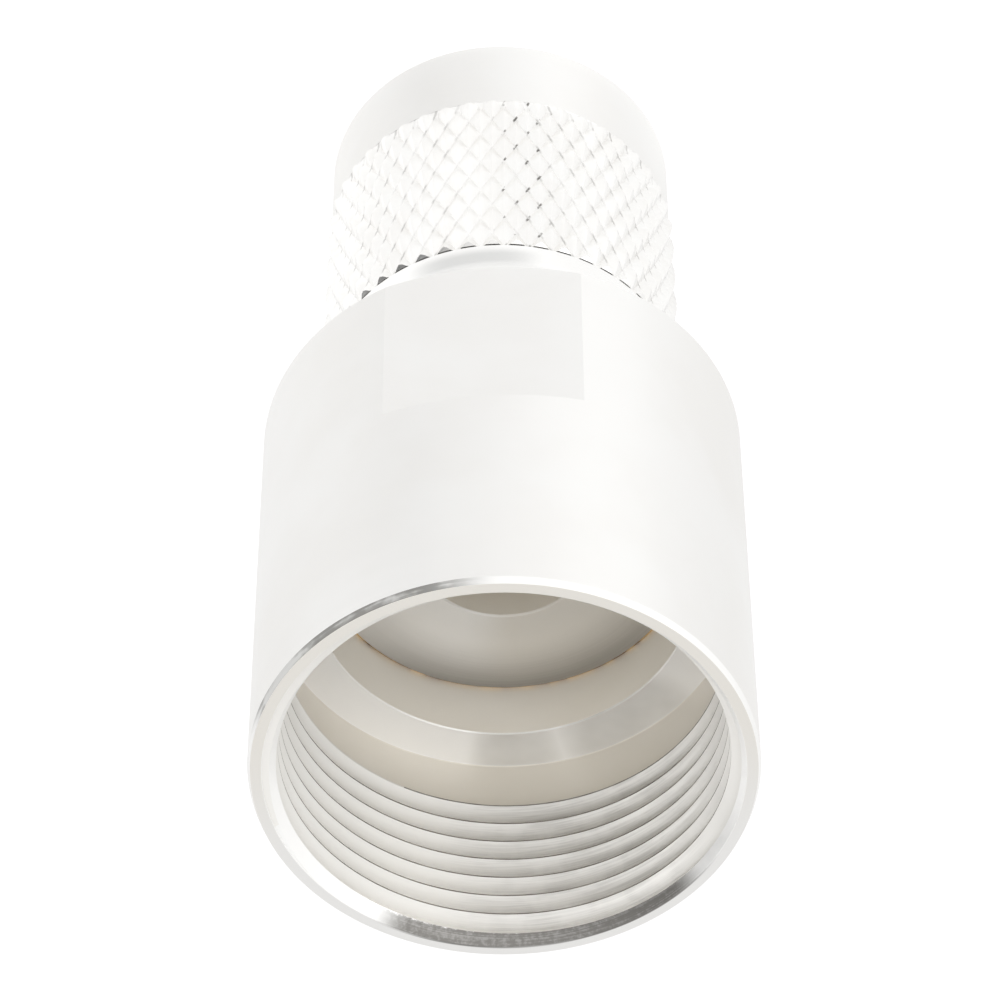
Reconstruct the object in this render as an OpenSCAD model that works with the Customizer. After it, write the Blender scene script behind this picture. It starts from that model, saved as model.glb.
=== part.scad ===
// Threaded coaxial plug for a large cable, with its coupling nut, standing on the nut.
// Millimetres. The origin is the centre of the nut's front face and +Z runs up the axis to the cable entry.

/* [Barrel] */
// Outside diameter of the barrel
barrel_d = 19.1; // [18.8:0.1:24]
// Length of the barrel from its front face to the rim
barrel_len = 19.7; // [19:0.1:28]
// Chamfer on the outer edge of the rim
rim_chamfer = 0.25; // [0.05:0.05:0.35]
// Chamfer on the front edge of the barrel
nose_chamfer = 0.9; // [0.2:0.1:1.5]
// Depth of the two wrench flats below the barrel's surface
flat_depth = 0.8; // [0.3:0.05:1.2]
// Wall left between the shoulder inside the barrel and the end of each flat
flat_gap = 0.5; // [0.2:0.05:4]
// Lean of the wall that ends each flat
flat_runout = 0.3; // [0.05:0.05:1]

/* [Cable entry] */
// Wall outside the gland thread
gland_wall = 0.55; // [0.45:0.01:0.9]
// Pitch of the gland thread
gland_pitch = 1; // [0.75:0.05:1.5]
// Depth of the threaded stretch below the rim
gland_thread_len = 7.8; // [6:0.05:8.5]
// Chamfer at the mouth of the gland thread
mouth_chamfer = 0.42; // [0.1:0.02:0.6]
// Radial clearance of the relief groove over the thread
relief_clear = 0.075; // [0.02:0.005:0.1]
// Length of the relief groove
relief_len = 2.35; // [1:0.05:2.6]
// Diameter of the plain bore that holds the front body
bore_d = 14.6; // [14:0.1:15.6]
// Depth of the front body's rear face below the rim
bore_depth = 12.75; // [12:0.05:16]

/* [Front body] */
// Ledge that stops the insulator, which leaves the hole in the rear face
insulator_ledge = 0.15; // [0.05:0.01:1.5]
// Edge break round the rear face, its hole and the shoulder above it
face_chamfer = 0.12; // [0.04:0.02:0.3]
// Diameter of the polished collar behind the nut
collar_d = 14.3; // [13.4:0.1:15]
// Length of the collar
collar_len = 1.4; // [0.8:0.05:3]
// Step from the collar down to the neck between collar and barrel
collar_step = 0.7; // [0.2:0.05:1.2]
// Length of the collar's rounded rear edge, limited to most of the collar
collar_round_len = 1.1; // [0.3:0.05:1.5]
// Length of the neck
neck_len = 2.05; // [1:0.05:4]
// Diameter of the shank that the nut turns on
shank_d = 11.5; // [11.3:0.05:12]
// Length of the shank
shank_len = 4.85; // [4:0.05:6]
// Chamfer on the front edge of the shank
shank_chamfer = 0.25; // [0.1:0.05:0.5]
// Bore of the outer contact tube
tube_bore_d = 7; // [6.9:0.05:7.4]
// Wall of the outer contact tube
tube_wall = 0.55; // [0.4:0.05:0.75]
// Depth of the tube's front end inside the nut
tube_recess = 2.2; // [1:0.1:3]
// Chamfers on the tube's front end, limited to a third of its wall
tube_chamfer = 0.18; // [0.05:0.01:0.25]
// Slots that make the tube's front end springy
slot_count = 4; // [0:1:8]
// Width of the slots
slot_w = 0.4; // [0.2:0.05:0.8]
// Length of the slots from the tube's front end
slot_len = 4.2; // [1:0.1:5]

/* [Coupling nut] */
// Wall between the retaining ring's groove and the knurl's grooves
nut_wall = 0.73; // [0.4:0.01:2]
// Length of the nut
nut_len = 14.05; // [13:0.05:17]
// Step from the knurl's peaks down to the plain front band
band_step = 0.18; // [0:0.02:0.4]
// Length of the plain front band
band_len = 4.2; // [2:0.1:6]
// Chamfer on the band's front edge
band_chamfer = 0.25; // [0.05:0.05:0.5]
// Chamfer that cuts the knurl's ridges at the nut's rear edge
nut_rear_chamfer = 0.2; // [0.04:0.02:0.3]
// Diamonds round the knurl
knurl_count = 46; // [30:1:60]
// Depth of the knurl's grooves
knurl_depth = 0.3; // [0.1:0.02:0.4]
// Angle of the knurl's grooves to the axis
knurl_angle = 27.3; // [22:0.1:45]
// Major diameter of the coupling thread
nut_thread_d = 11.11; // [10.6:0.01:11.3]
// Pitch of the coupling thread
nut_pitch = 0.907; // [0.5:0.001:1]
// Radial clearance of the nut's plain lead-in over the coupling thread
lead_in_clear = 0.145; // [0.05:0.005:0.4]
// Depth of the plain lead-in, with its chamfer
lead_in_len = 1.8; // [1:0.1:3]
// Chamfer at the mouth of the lead-in
nut_mouth_chamfer = 0.3; // [0.1:0.05:0.6]
// Radial running clearance between nut and shank
running_clear = 0.05; // [0.02:0.01:0.1]
// Gap between the nut's rear face and the collar
nut_gap = 0.08; // [0.05:0.01:0.4]
// Gap between the shank's front face and the step inside the nut
step_gap = 0.35; // [0.1:0.05:0.8]

/* [Retaining ring] */
// Width of the ring along the axis
ring_w = 0.8; // [0.5:0.05:1.2]
// Depth of the ring's groove in the shank
ring_groove_depth = 0.7; // [0.3:0.05:1]
// How far the ring stands out of the shank
ring_proud = 0.45; // [0.2:0.05:0.6]
// Distance from the shank's front face to the middle of the ring
ring_place = 2.4; // [1.2:0.1:3]
// Side clearance of the ring in the shank's groove
ring_side_clear = 0.03; // [0.01:0.01:0.1]
// Clearance round the ring in the nut's groove
ring_nut_clear = 0.1; // [0.05:0.01:0.2]
// Width of the split in the ring
ring_split = 3; // [1:0.1:5]

/* [Gasket] */
// Thickness of the gasket
gasket_t = 1; // [0.6:0.05:1.6]
// Width of the gasket from the contact tube outwards
gasket_w = 0.81; // [0.5:0.01:1]
// Clearance of the gasket inside the coupling nut
gasket_clear = 0.2; // [0.1:0.02:0.5]

/* [Insulator and centre contact] */
// Depth of the insulator's front face inside the tube
insulator_recess = 5.4; // [4:0.1:6.5]
// Length of the insulator
insulator_len = 5.5; // [3:0.1:8]
// Diameter of the pin
pin_d = 1.37; // [1:0.01:1.6]
// Length of the pin in front of the insulator
pin_len = 5.2; // [3:0.1:6]
// Length of the pin's tapered tip
pin_tip_len = 0.8; // [0.3:0.1:1.5]
// Diameter of the contact inside the insulator
contact_d = 2.16; // [1.8:0.02:2.5]
// Diameter of the solder cup
cup_d = 2.8; // [2.6:0.05:3.6]
// Length of the solder cup
cup_len = 7; // [5:0.1:9]
// Diameter of the solder cup's bore
cup_bore_d = 2.3; // [1.6:0.05:2.4]
// Depth of the solder cup's bore
cup_bore_depth = 5; // [3:0.1:6]
// Diameter of the solder hole in the cup's side
solder_hole_d = 0.8; // [0.4:0.1:1.2]

/* [Hidden] */
$fn = 96;
silver = [0.9, 0.9, 0.88];
gold = [0.83, 0.66, 0.3];
bronze = [0.72, 0.55, 0.36];
ptfe = [0.96, 0.96, 0.94];
silicone = [0.72, 0.25, 0.16];

// A cut reaches this far past the surface that it opens
cut = 1;

// Depth of a 60 degree internal thread for a pitch of one
thread_depth_ratio = 0.5413;

barrel_r = barrel_d / 2;
gland_major_r = barrel_r - gland_wall;
gland_r = gland_major_r - thread_depth_ratio * gland_pitch;
relief_r = gland_major_r + relief_clear;
bore_r = bore_d / 2;
collar_r = collar_d / 2;
neck_r = collar_r - collar_step;
shank_r = shank_d / 2;
tube_bore_r = tube_bore_d / 2;
tube_r = tube_bore_r + tube_wall;
tube_edge = min(tube_chamfer, tube_wall / 3);
feed_r = tube_bore_r - insulator_ledge;
nut_thread_r = nut_thread_d / 2 - thread_depth_ratio * nut_pitch;
lead_in_r = nut_thread_d / 2 + lead_in_clear;
nut_bore_r = shank_r + running_clear;
gasket_r = tube_r + gasket_w;
gasket_seat_r = gasket_r + gasket_clear;
ring_in_r = shank_r - ring_groove_depth;
ring_out_r = shank_r + ring_proud;
ring_space_r = ring_out_r + ring_nut_clear;
groove_r = ring_space_r + nut_wall;
peak_r = groove_r + knurl_depth;
band_r = peak_r - band_step;
pin_r = pin_d / 2;
contact_r = contact_d / 2;
cup_r = cup_d / 2;

// Heights from the nut's front face up to the rim
z_collar = nut_len + nut_gap;
z_neck = z_collar + collar_len;
z_barrel = z_neck + neck_len;
z_rim = z_barrel + barrel_len;
z_face = z_rim - bore_depth;
z_thread_end = z_rim - gland_thread_len;
z_relief_end = z_thread_end - relief_len;
z_flat_end = z_relief_end - flat_gap;
z_shank = z_collar - shank_len;
z_ring = z_shank + ring_place;
z_step = z_shank - step_gap;
z_gasket = z_shank - gasket_t;
z_gasket_seat = z_gasket - gasket_clear;
z_insulator = tube_recess + insulator_recess;
z_insulator_end = z_insulator + insulator_len;
z_cup_end = z_insulator_end + cup_len;

// The collar's rear edge is a quarter of an ellipse down to the neck
collar_round = min(collar_round_len, 0.85 * collar_len);
collar_edge = min(0.04, 0.1 * collar_len);
round_steps = 6;

// A cutter for one wrench flat, facing -Y, whose end wall leans by flat_runout over the flat's depth
module flat_cutter() {
    deep = barrel_r - flat_depth;
    lean = flat_runout / flat_depth;
    outside = barrel_r + cut;
    rotate([90, 0, 90])
        linear_extrude(height = 2 * barrel_r, center = true)
            polygon([
                [-outside, z_barrel - cut],
                [-deep, z_barrel - cut],
                [-deep, z_flat_end - flat_runout],
                [-outside, z_flat_end + cut * lean]
            ]);
}

module barrel() {
    color(silver)
        difference() {
            rotate_extrude()
                polygon([
                    [bore_r, z_barrel],
                    [barrel_r - nose_chamfer, z_barrel],
                    [barrel_r, z_barrel + nose_chamfer],
                    [barrel_r, z_rim - rim_chamfer],
                    [barrel_r - rim_chamfer, z_rim],
                    [gland_r + mouth_chamfer, z_rim],
                    [gland_r, z_rim - mouth_chamfer],
                    [gland_r, z_thread_end],
                    [relief_r, z_thread_end],
                    [relief_r, z_relief_end],
                    [bore_r + face_chamfer, z_relief_end],
                    [bore_r, z_relief_end - face_chamfer]
                ]);
            for (side = [0, 180])
                rotate(side) flat_cutter();
        }
}

// The collar's rounded rear edge, from its full diameter down to the neck
function collar_rear() = [
    for (step = [0 : round_steps])
        let (turn = 90 * step / round_steps)
            [
                neck_r + collar_step * cos(turn),
                z_neck - collar_round + collar_round * sin(turn)
            ]
];

module front_body() {
    color(silver)
        difference() {
            front_body_turned();
            for (index = [0 : 1 : slot_count - 1])
                rotate(360 * (index + 0.5) / slot_count)
                    translate([tube_bore_r - cut, -slot_w / 2, tube_recess - cut])
                        cube([tube_wall + 2 * cut, slot_w, slot_len + cut]);
        }
}

// The front body before its contact tube is slotted
module front_body_turned() {
    groove_half = ring_w / 2 + ring_side_clear;
    rotate_extrude()
        polygon(concat(
            [
                [tube_bore_r + tube_edge, tube_recess],
                [tube_r - tube_edge, tube_recess],
                [tube_r, tube_recess + tube_edge],
                [tube_r, z_shank],
                [shank_r - shank_chamfer, z_shank],
                [shank_r, z_shank + shank_chamfer],
                [shank_r, z_ring - groove_half],
                [ring_in_r, z_ring - groove_half],
                [ring_in_r, z_ring + groove_half],
                [shank_r, z_ring + groove_half],
                [shank_r, z_collar],
                [collar_r - collar_edge, z_collar],
                [collar_r, z_collar + collar_edge]
            ],
            collar_rear(),
            [
                [neck_r, z_barrel],
                [bore_r, z_barrel],
                [bore_r, z_face - face_chamfer],
                [bore_r - face_chamfer, z_face],
                [feed_r + face_chamfer, z_face],
                [feed_r, z_face - face_chamfer],
                [feed_r, z_insulator_end],
                [tube_bore_r, z_insulator_end],
                [tube_bore_r, tube_recess + tube_edge]
            ]
        ));
}

// The knurled stretch as one closed solid. Grooves cross where row plus column is even, and a diamond's
// peak stands where the sum is odd. The grid steps by half a diamond both ways, and one more ring under
// the rear face starts the chamfer that cuts the ridges.
module knurl() {
    columns = 2 * knurl_count;
    lead = knurl_depth / 2;
    start = band_len + lead;
    half_height = 2 * PI * peak_r / columns / tan(knurl_angle);
    rows = max(2, round((nut_len - start) / half_height));
    row_height = (nut_len - start) / rows;
    chamfer_rows = nut_rear_chamfer / (row_height + knurl_depth);
    root_r = min(band_r, groove_r) - knurl_depth;
    ring = [for (column = [0 : columns - 1]) 360 * (column - 0.5) / columns];
    levels = concat([for (row = [0 : rows - 1]) row], [rows - chamfer_rows, rows]);
    last = len(levels) - 1;
    function ridge(level, column) =
        let (share = level - floor(level))
            (floor(level) + column) % 2 == 0 ? share : 1 - share;
    points = concat(
        [for (turn = ring) [root_r * cos(turn), root_r * sin(turn), band_len - lead]],
        [
            for (level = levels, column = [0 : columns - 1])
                let (
                    limit = level == rows ? peak_r - nut_rear_chamfer : peak_r,
                    r = min(groove_r + knurl_depth * ridge(level, column), limit)
                )
                    [r * cos(ring[column]), r * sin(ring[column]), start + row_height * level]
        ]
    );
    function at(row, column) = (row + 1) * columns + column % columns;
    faces = concat(
        [[for (column = [0 : columns - 1]) at(-1, column)]],
        [[for (column = [columns - 1 : -1 : 0]) at(last, column)]],
        [
            for (row = [-1 : last - 1], column = [0 : columns - 1], half = [0, 1])
                let (
                    low = at(row, column),
                    low_next = at(row, column + 1),
                    high = at(row + 1, column),
                    high_next = at(row + 1, column + 1),
                    valley = row == last - 1 ? 1 : 0
                )
                    (row + column) % 2 == valley
                        ? (half == 0 ? [low, high, high_next] : [low, high_next, low_next])
                        : (half == 0 ? [low, high, low_next] : [low_next, high, high_next])
        ]
    );
    polyhedron(points, faces);
}

// The nut's bore from the coupling thread to the step; a seat opens it where the gasket needs more room
function nut_seat() = gasket_seat_r > nut_thread_r
    ? [[nut_thread_r, z_gasket_seat], [gasket_seat_r, z_gasket_seat], [gasket_seat_r, z_step]]
    : [[nut_thread_r, z_step]];

module coupling_nut() {
    groove_half = ring_w / 2 + ring_nut_clear;
    core_r = band_r - 3 * knurl_depth;
    color(silver)
        difference() {
            union() {
                knurl();
                rotate_extrude()
                    polygon([
                        [0, 0],
                        [band_r - band_chamfer, 0],
                        [band_r, band_chamfer],
                        [band_r, band_len],
                        [core_r, band_len],
                        [core_r, band_len + cut],
                        [0, band_len + cut]
                    ]);
            }
            rotate_extrude()
                polygon(concat(
                    [
                        [0, -cut],
                        [lead_in_r + nut_mouth_chamfer + cut, -cut],
                        [lead_in_r, nut_mouth_chamfer],
                        [lead_in_r, lead_in_len],
                        [nut_thread_r, lead_in_len + lead_in_r - nut_thread_r]
                    ],
                    nut_seat(),
                    [
                        [nut_bore_r, z_step],
                        [nut_bore_r, z_ring - groove_half],
                        [ring_space_r, z_ring - groove_half],
                        [ring_space_r, z_ring + groove_half],
                        [nut_bore_r, z_ring + groove_half],
                        [nut_bore_r, nut_len + cut],
                        [0, nut_len + cut]
                    ]
                ));
        }
}

module retaining_ring() {
    color(bronze)
        difference() {
            rotate_extrude()
                polygon([
                    [ring_in_r, z_ring - ring_w / 2],
                    [ring_out_r, z_ring - ring_w / 2],
                    [ring_out_r, z_ring + ring_w / 2],
                    [ring_in_r, z_ring + ring_w / 2]
                ]);
            translate([0, -ring_split / 2, z_ring - ring_w])
                cube([2 * ring_out_r, ring_split, 2 * ring_w]);
        }
}

module gasket() {
    color(silicone)
        rotate_extrude()
            polygon([
                [tube_r, z_gasket],
                [gasket_r, z_gasket],
                [gasket_r, z_shank],
                [tube_r, z_shank]
            ]);
}

module insulator() {
    color(ptfe)
        rotate_extrude()
            polygon([
                [contact_r, z_insulator],
                [tube_bore_r, z_insulator],
                [tube_bore_r, z_insulator_end],
                [contact_r, z_insulator_end]
            ]);
}

module centre_contact() {
    z_tip = z_insulator - pin_len;
    z_cup_bore = z_cup_end - cup_bore_depth;
    color(gold)
        difference() {
            rotate_extrude()
                polygon([
                    [0, z_tip],
                    [pin_r / 2, z_tip],
                    [pin_r, z_tip + pin_tip_len],
                    [pin_r, z_insulator],
                    [contact_r, z_insulator],
                    [contact_r, z_insulator_end],
                    [cup_r, z_insulator_end],
                    [cup_r, z_cup_end],
                    [0, z_cup_end]
                ]);
            translate([0, 0, z_cup_bore])
                cylinder(h = cup_bore_depth + cut, d = cup_bore_d);
            translate([0, 0, z_cup_bore + solder_hole_d])
                rotate([90, 0, 0])
                    cylinder(h = cup_r + cut, d = solder_hole_d);
        }
}

barrel();
front_body();
coupling_nut();
retaining_ring();
gasket();
insulator();
centre_contact();
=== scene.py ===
"""Looks of a silver-plated coaxial plug body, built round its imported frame."""

import math

import bmesh
import bpy
from mathutils import Matrix, Vector


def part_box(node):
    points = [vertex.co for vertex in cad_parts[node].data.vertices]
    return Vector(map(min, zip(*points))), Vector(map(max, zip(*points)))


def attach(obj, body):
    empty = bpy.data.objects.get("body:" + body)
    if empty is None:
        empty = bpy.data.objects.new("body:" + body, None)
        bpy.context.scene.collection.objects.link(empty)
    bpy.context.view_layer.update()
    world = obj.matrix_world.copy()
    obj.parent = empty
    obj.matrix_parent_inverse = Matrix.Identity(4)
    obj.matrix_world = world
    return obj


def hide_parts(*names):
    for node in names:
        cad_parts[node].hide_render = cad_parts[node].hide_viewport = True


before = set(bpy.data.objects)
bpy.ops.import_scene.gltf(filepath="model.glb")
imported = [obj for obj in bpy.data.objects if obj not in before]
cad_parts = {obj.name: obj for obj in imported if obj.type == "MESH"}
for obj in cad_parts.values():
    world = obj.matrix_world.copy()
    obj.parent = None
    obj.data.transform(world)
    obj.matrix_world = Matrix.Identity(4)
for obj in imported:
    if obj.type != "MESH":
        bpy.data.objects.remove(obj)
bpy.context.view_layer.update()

# Lengths below are in millimetres, and meshes are scaled to metres as they are made.
MM = 0.001


def span(node):
    """Radius, lowest and highest point of a round CAD node."""
    low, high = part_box(node)
    radius = max(high.x, high.y, -low.x, -low.y)
    return radius / MM, low.z / MM, high.z / MM


# Sizes read from the frame
barrel_r, z_barrel, z_rim = span("barrel")
bore_r, z_tube, z_face = span("front_body")
peak_r, _, nut_len = span("coupling_nut")
ring_out_r, z_ring_low, z_ring_high = span("retaining_ring")
gasket_r, z_gasket, z_shank = span("gasket")
tube_bore_r, z_insulator, z_insulator_end = span("insulator")

# Barrel. The gland thread's cut starts below the thread by the run-out, at a turn in radians, and ends above
# the rim by the run-in.
RIM_EDGE_LEN = 0.29
RIM_EDGE_W = 0.11
NOSE_CHAMFER = 0.9
NOSE_ROUND = 0.12
FLAT_DEPTH = 0.8
FLAT_LEAN = 0.3
FLAT_GAP = 0.5
GLAND_WALL = 0.55
GLAND_PITCH = 1.0
GLAND_CREST = 0.06
GLAND_TURN = 2.26
GLAND_LEN = 7.8
GLAND_RUN_IN = 1.2
GLAND_RUN_OUT = 0.8
MOUTH_CHAMFER = 0.56
RELIEF_CLEAR = 0.075
RELIEF_LEN = 2.35
SHOULDER_EDGE = 0.05

# Front body
COLLAR_R = 7.15
COLLAR_LEN = 1.45
COLLAR_STEP = 0.7
COLLAR_ROUND_LEN = 1.1
COLLAR_ROUND_STEPS = 12
SHANK_R = 5.75
SHANK_CHAMFER = 0.25
TUBE_WALL = 0.55
TUBE_EDGE = 0.18
FACE_CHAMFER = 0.12
FEED_R = 3.35
FEED_EDGE = 0.07
FEED_ROUND = 0.015
RING_GROOVE_R = 5.05
RING_SIDE_CLEAR = 0.03
SLOT_W = 0.4
SLOT_LEN = 4.2
SLOT_COUNT = 4

# Coupling nut. A diamond of the knurl is part wedge and part pillow. Its grooves deepen from the band at the
# slope of the runout, and the rear face ends inside them by the sink.
NUT_GAP = 0.03
BAND_LEN = 4.2
BAND_STEP = 0.18
BAND_CHAMFER = 0.25
BAND_END_ROUND = 0.02
KNURL_COUNT = 46
KNURL_ROWS = 10
KNURL_DEPTH = 0.3
KNURL_STEPS = 4
KNURL_LEAD_ROWS = 3
KNURL_PHASE = 0.5
KNURL_WEDGE = 0.3
KNURL_PILLOW = 0.7
KNURL_RUNOUT = 0.5
KNURL_SINK = 0.12
NUT_REAR_CHAMFER = 0.2
NUT_END_ROUND = 0.03
NUT_BORE_R = 5.8
NUT_BORE_ROUND = 0.06
NUT_MOUTH_CHAMFER = 0.3
COUPLING_R = 5.555
COUPLING_PITCH = 0.907
COUPLING_CREST = 0.22
COUPLING_TURN = 0.3
COUPLING_LOW = 1.0
COUPLING_RUN_OUT = 0.6
LEAD_IN_R = 5.7
LEAD_IN_LEN = 1.8
RING_NUT_CLEAR = 0.1
STEP_GAP = 0.35

# Gasket and insulator
GASKET_INNER_ROUND = 0.1
GASKET_OUTER_ROUND = 0.15
CONTACT_R = 1.08

# Usual roundings of an edge, from none to the softest
SHARP = 0
KEEN = 0.01
FINE = 0.02
CRISP = 0.03
BROKEN = 0.04
EASED = 0.05
SOFT = 0.08

# Depth of a 60 degree internal thread for a pitch of one, the lean of its flanks and its steps in a turn
THREAD_DEPTH_RATIO = 0.5413
THREAD_FLANK = math.radians(30)
THREAD_STEPS = 120

# Reach of a cutter past the surface that it opens, for a thread and elsewhere
THREAD_REACH = 0.12
REACH = 1.0

# Columns round a turned piece, the most that one step of a rounding turns, and the distance within which two
# points are one
COLUMNS = 256
ARC_STEP = math.radians(9)
SAME_POINT = 1e-4

# Largest angle between neighbouring faces that are shaded as one smooth surface, and the upright part of a
# face's normal from which the face is level
SMOOTH_ANGLE = math.radians(14)
KNURL_SMOOTH_ANGLE = math.radians(32)
LEVEL_NORMAL = 0.9999

# A face whose centre is this near to a surface counts as part of it
MARGIN = 0.01

# Sizes that follow from those above
gland_major_r = barrel_r - GLAND_WALL
gland_r = gland_major_r - THREAD_DEPTH_RATIO * GLAND_PITCH
mouth_r = gland_r + MOUTH_CHAMFER
relief_r = gland_major_r + RELIEF_CLEAR
z_thread_end = z_rim - GLAND_LEN
z_shoulder = z_thread_end - RELIEF_LEN
z_flat_end = z_shoulder - FLAT_GAP
neck_r = COLLAR_R - COLLAR_STEP
z_collar = nut_len + NUT_GAP
z_neck = z_collar + COLLAR_LEN
tube_r = tube_bore_r + TUBE_WALL
coupling_minor_r = COUPLING_R - THREAD_DEPTH_RATIO * COUPLING_PITCH
z_step = z_shank - STEP_GAP
band_r = peak_r - BAND_STEP
groove_r = peak_r - KNURL_DEPTH
knurl_start = BAND_LEN + KNURL_DEPTH / 2


def rounded(corners):
    """A closed outline of radius and height, from corners given as (radius, height, rounding)."""
    outline = []
    for index, (radius, height, rounding) in enumerate(corners):
        corner = Vector((radius, height))
        if not rounding:
            outline.append(corner)
            continue
        into = (Vector(corners[index - 1][:2]) - corner).normalized()
        away = (Vector(corners[(index + 1) % len(corners)][:2]) - corner).normalized()
        half = into.angle(away) / 2
        centre = corner + (into + away).normalized() * rounding / math.sin(half)
        start = corner + into * rounding / math.tan(half) - centre
        turn = start.angle_signed(corner + away * rounding / math.tan(half) - centre)
        steps = max(2, math.ceil(abs(turn) / ARC_STEP))
        for step in range(steps + 1):
            outline.append(centre + Matrix.Rotation(-turn * step / steps, 2) @ start)
    return outline


def solid(name, points, faces):
    """A mesh object with its normals turned outwards, from points in metres."""
    mesh = bpy.data.meshes.new(name)
    mesh.from_pydata(points, [], faces)
    work = bmesh.new()
    work.from_mesh(mesh)
    bmesh.ops.remove_doubles(work, verts=work.verts, dist=SAME_POINT * MM)
    bmesh.ops.recalc_face_normals(work, faces=work.faces)
    work.to_mesh(mesh)
    work.free()
    piece = bpy.data.objects.new(name, mesh)
    bpy.context.scene.collection.objects.link(piece)
    return piece


def skin(name, rings, leaning=None):
    """A closed surface over rings of points, each joined to the next and the last to the first.
    leaning(ring, column) is true where a face is cut from its lower left corner to its upper right, false
    where it is cut the other way, and None where it stays whole."""
    columns = len(rings[0])
    faces = []
    for ring in range(len(rings)):
        above = (ring + 1) % len(rings)
        for column in range(columns):
            beside = (column + 1) % columns
            a = ring * columns + column
            b = ring * columns + beside
            c = above * columns + beside
            d = above * columns + column
            lean = leaning(ring, column) if leaning else None
            if lean is None:
                faces.append((a, b, c, d))
            elif lean:
                faces += [(a, b, c), (a, c, d)]
            else:
                faces += [(a, b, d), (b, c, d)]
    points = [point * MM for ring in rings for point in ring]
    return solid(name, points, faces)


def ring_of(radius, height, columns):
    """Points round the axis; radius is a number or a function of the column."""
    points = []
    for column in range(columns):
        turn = 2 * math.pi * column / columns
        r = radius(column) if callable(radius) else radius
        points.append(Vector((r * math.cos(turn), r * math.sin(turn), height)))
    return points


def lathe(name, corners):
    """A turned solid with rounded corners."""
    return skin(name, [ring_of(r, z, COLUMNS) for r, z in rounded(corners)])


def prism(name, outline, half_width):
    """A solid with one outline of (y, z) at both ends, from -half_width to half_width along X."""
    points = [Vector((x, y, z)) * MM for x in (-half_width, half_width) for y, z in outline]
    count = len(outline)
    faces = [tuple(range(count)), tuple(range(count, 2 * count))]
    for a in range(count):
        b = (a + 1) % count
        faces.append((a, b, b + count, a + count))
    return solid(name, points, faces)


def thread_cutter(minor_r, major_r, pitch, crest_w, low, high, turn_offset):
    """A right-handed helical ridge that cuts a groove with leaning flanks, from the minor radius out to the
    major, and leaves a crest of the given width."""
    inner_r = minor_r - THREAD_REACH
    slope = math.tan(THREAD_FLANK)
    half_root = (pitch - crest_w) / 2 - (major_r - minor_r) * slope
    half_mouth = half_root + (major_r - inner_r) * slope
    section = [
        (inner_r, -half_mouth),
        (major_r, -half_root),
        (major_r, half_root),
        (inner_r, half_mouth),
    ]
    count = len(section)
    steps = round((high - low) / pitch * THREAD_STEPS)
    points = []
    for step in range(steps + 1):
        turn = turn_offset + 2 * math.pi * step / THREAD_STEPS
        height = low + pitch * step / THREAD_STEPS
        for r, z in section:
            points.append(Vector((r * math.cos(turn), r * math.sin(turn), height + z)) * MM)
    faces = [tuple(range(count)), tuple(count * steps + corner for corner in range(count))]
    for step in range(steps):
        for corner in range(count):
            a = count * step + corner
            b = count * step + (corner + 1) % count
            faces.append((a, b, b + count, a + count))
    return solid("thread_cutter", points, faces)


def evaluate(piece):
    """Gives the piece the mesh that its modifiers make of it."""
    before = piece.data
    graph = bpy.context.evaluated_depsgraph_get()
    made = bpy.data.meshes.new_from_object(piece.evaluated_get(graph))
    piece.modifiers.clear()
    piece.data = made
    made.name = piece.name
    bpy.data.meshes.remove(before)


def cut_away(piece, cutter):
    """Takes the cutter's solid out of the piece."""
    modifier = piece.modifiers.new("cut", "BOOLEAN")
    modifier.operation = "DIFFERENCE"
    modifier.solver = "EXACT"
    modifier.object = cutter
    evaluate(piece)
    bpy.data.meshes.remove(cutter.data)


def shade(piece, largest):
    """Smooth shading that keeps edges sharp where neighbouring faces turn by more than the largest angle, and
    in which level faces, and large faces next to a narrow rounding, stay flat."""
    piece.data.shade_smooth()
    piece.data.set_sharp_from_angle(angle=largest)
    for face in piece.data.polygons:
        face.use_smooth = abs(face.normal.z) < LEVEL_NORMAL
    modifier = piece.modifiers.new("flat_faces", "WEIGHTED_NORMAL")
    modifier.mode = "FACE_AREA"
    modifier.keep_sharp = True
    evaluate(piece)


def paint(piece, materials, choose):
    """Gives each face one of the materials, chosen by the radius and height of its centre."""
    for material in materials:
        piece.data.materials.append(material)
    places = {material.name: place for place, material in enumerate(materials)}
    for face in piece.data.polygons:
        centre = face.center / MM
        chosen = choose(math.hypot(centre.x, centre.y), centre.z)
        face.material_index = places[chosen.name]


def mount(piece, node, body, largest=SMOOTH_ANGLE):
    """The piece rides on its body and stands for its CAD node."""
    shade(piece, largest)
    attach(piece, body)
    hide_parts(node)


# Noise: the range that most of it keeps to, the range between two clouded colours, and the scale of dust
NOISE_LOW = 0.2
NOISE_HIGH = 0.8
CLOUD_LOW = 0.35
CLOUD_HIGH = 0.68
DUST_SCALE = 14.0

# In ring noise a step outwards counts this many times a step upwards, so that no 45 degree chamfer lies along
# one ring
OUTWARD_WEIGHT = 1.37

# Units in which a pattern of grooves repeats, and repeats added to keep their count positive
GROOVE_REPEAT = 2
GROOVE_OFFSET = 100.0

# Turn of stretched reflections, as a share of a full turn, that lays them across the rings
ACROSS_RINGS = 0.25


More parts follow.
